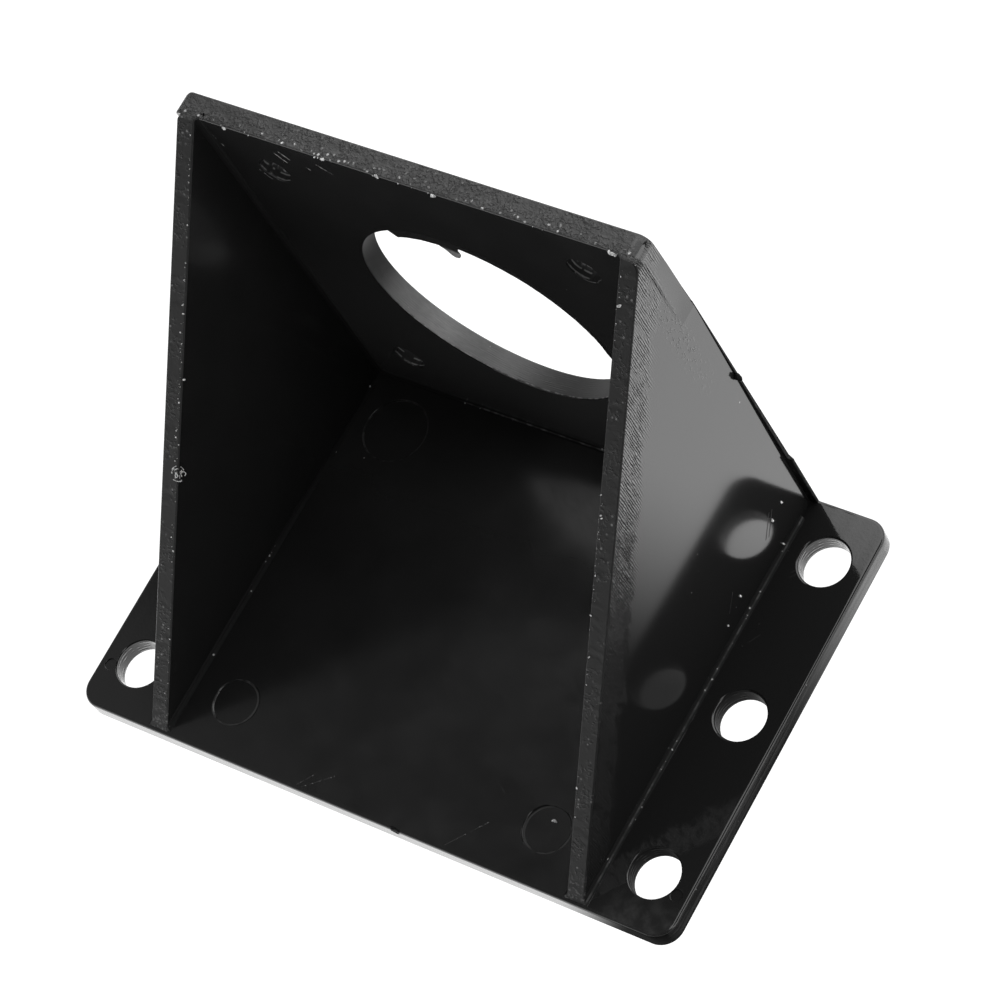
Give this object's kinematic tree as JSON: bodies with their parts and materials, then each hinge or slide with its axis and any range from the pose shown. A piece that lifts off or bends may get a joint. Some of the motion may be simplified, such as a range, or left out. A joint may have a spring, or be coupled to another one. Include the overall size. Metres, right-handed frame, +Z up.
{
  "type": "motor mounting bracket",
  "caption": "Black moulded plastic bracket that holds a square stepper motor: flanged base, triangular side walls and an upright plate with a large round hole.",
  "frame": {"origin": "centre of the base's underside, midway between its sides and between its front and back edges", "axes": "+X across the bracket, from one flange to the other, +Y from the open front to the face plate, +Z up from the surface that the base is screwed to"},
  "size_m": [0.063, 0.0408, 0.0442],
  "materials": {
    "black_plastic": "glossy black moulded plastic, with a matt grain on the plate's top and the walls' sloping edges"
  },
  "bodies": {
    "root": {"bracket": "black_plastic"}
  },
  "joints": []
}
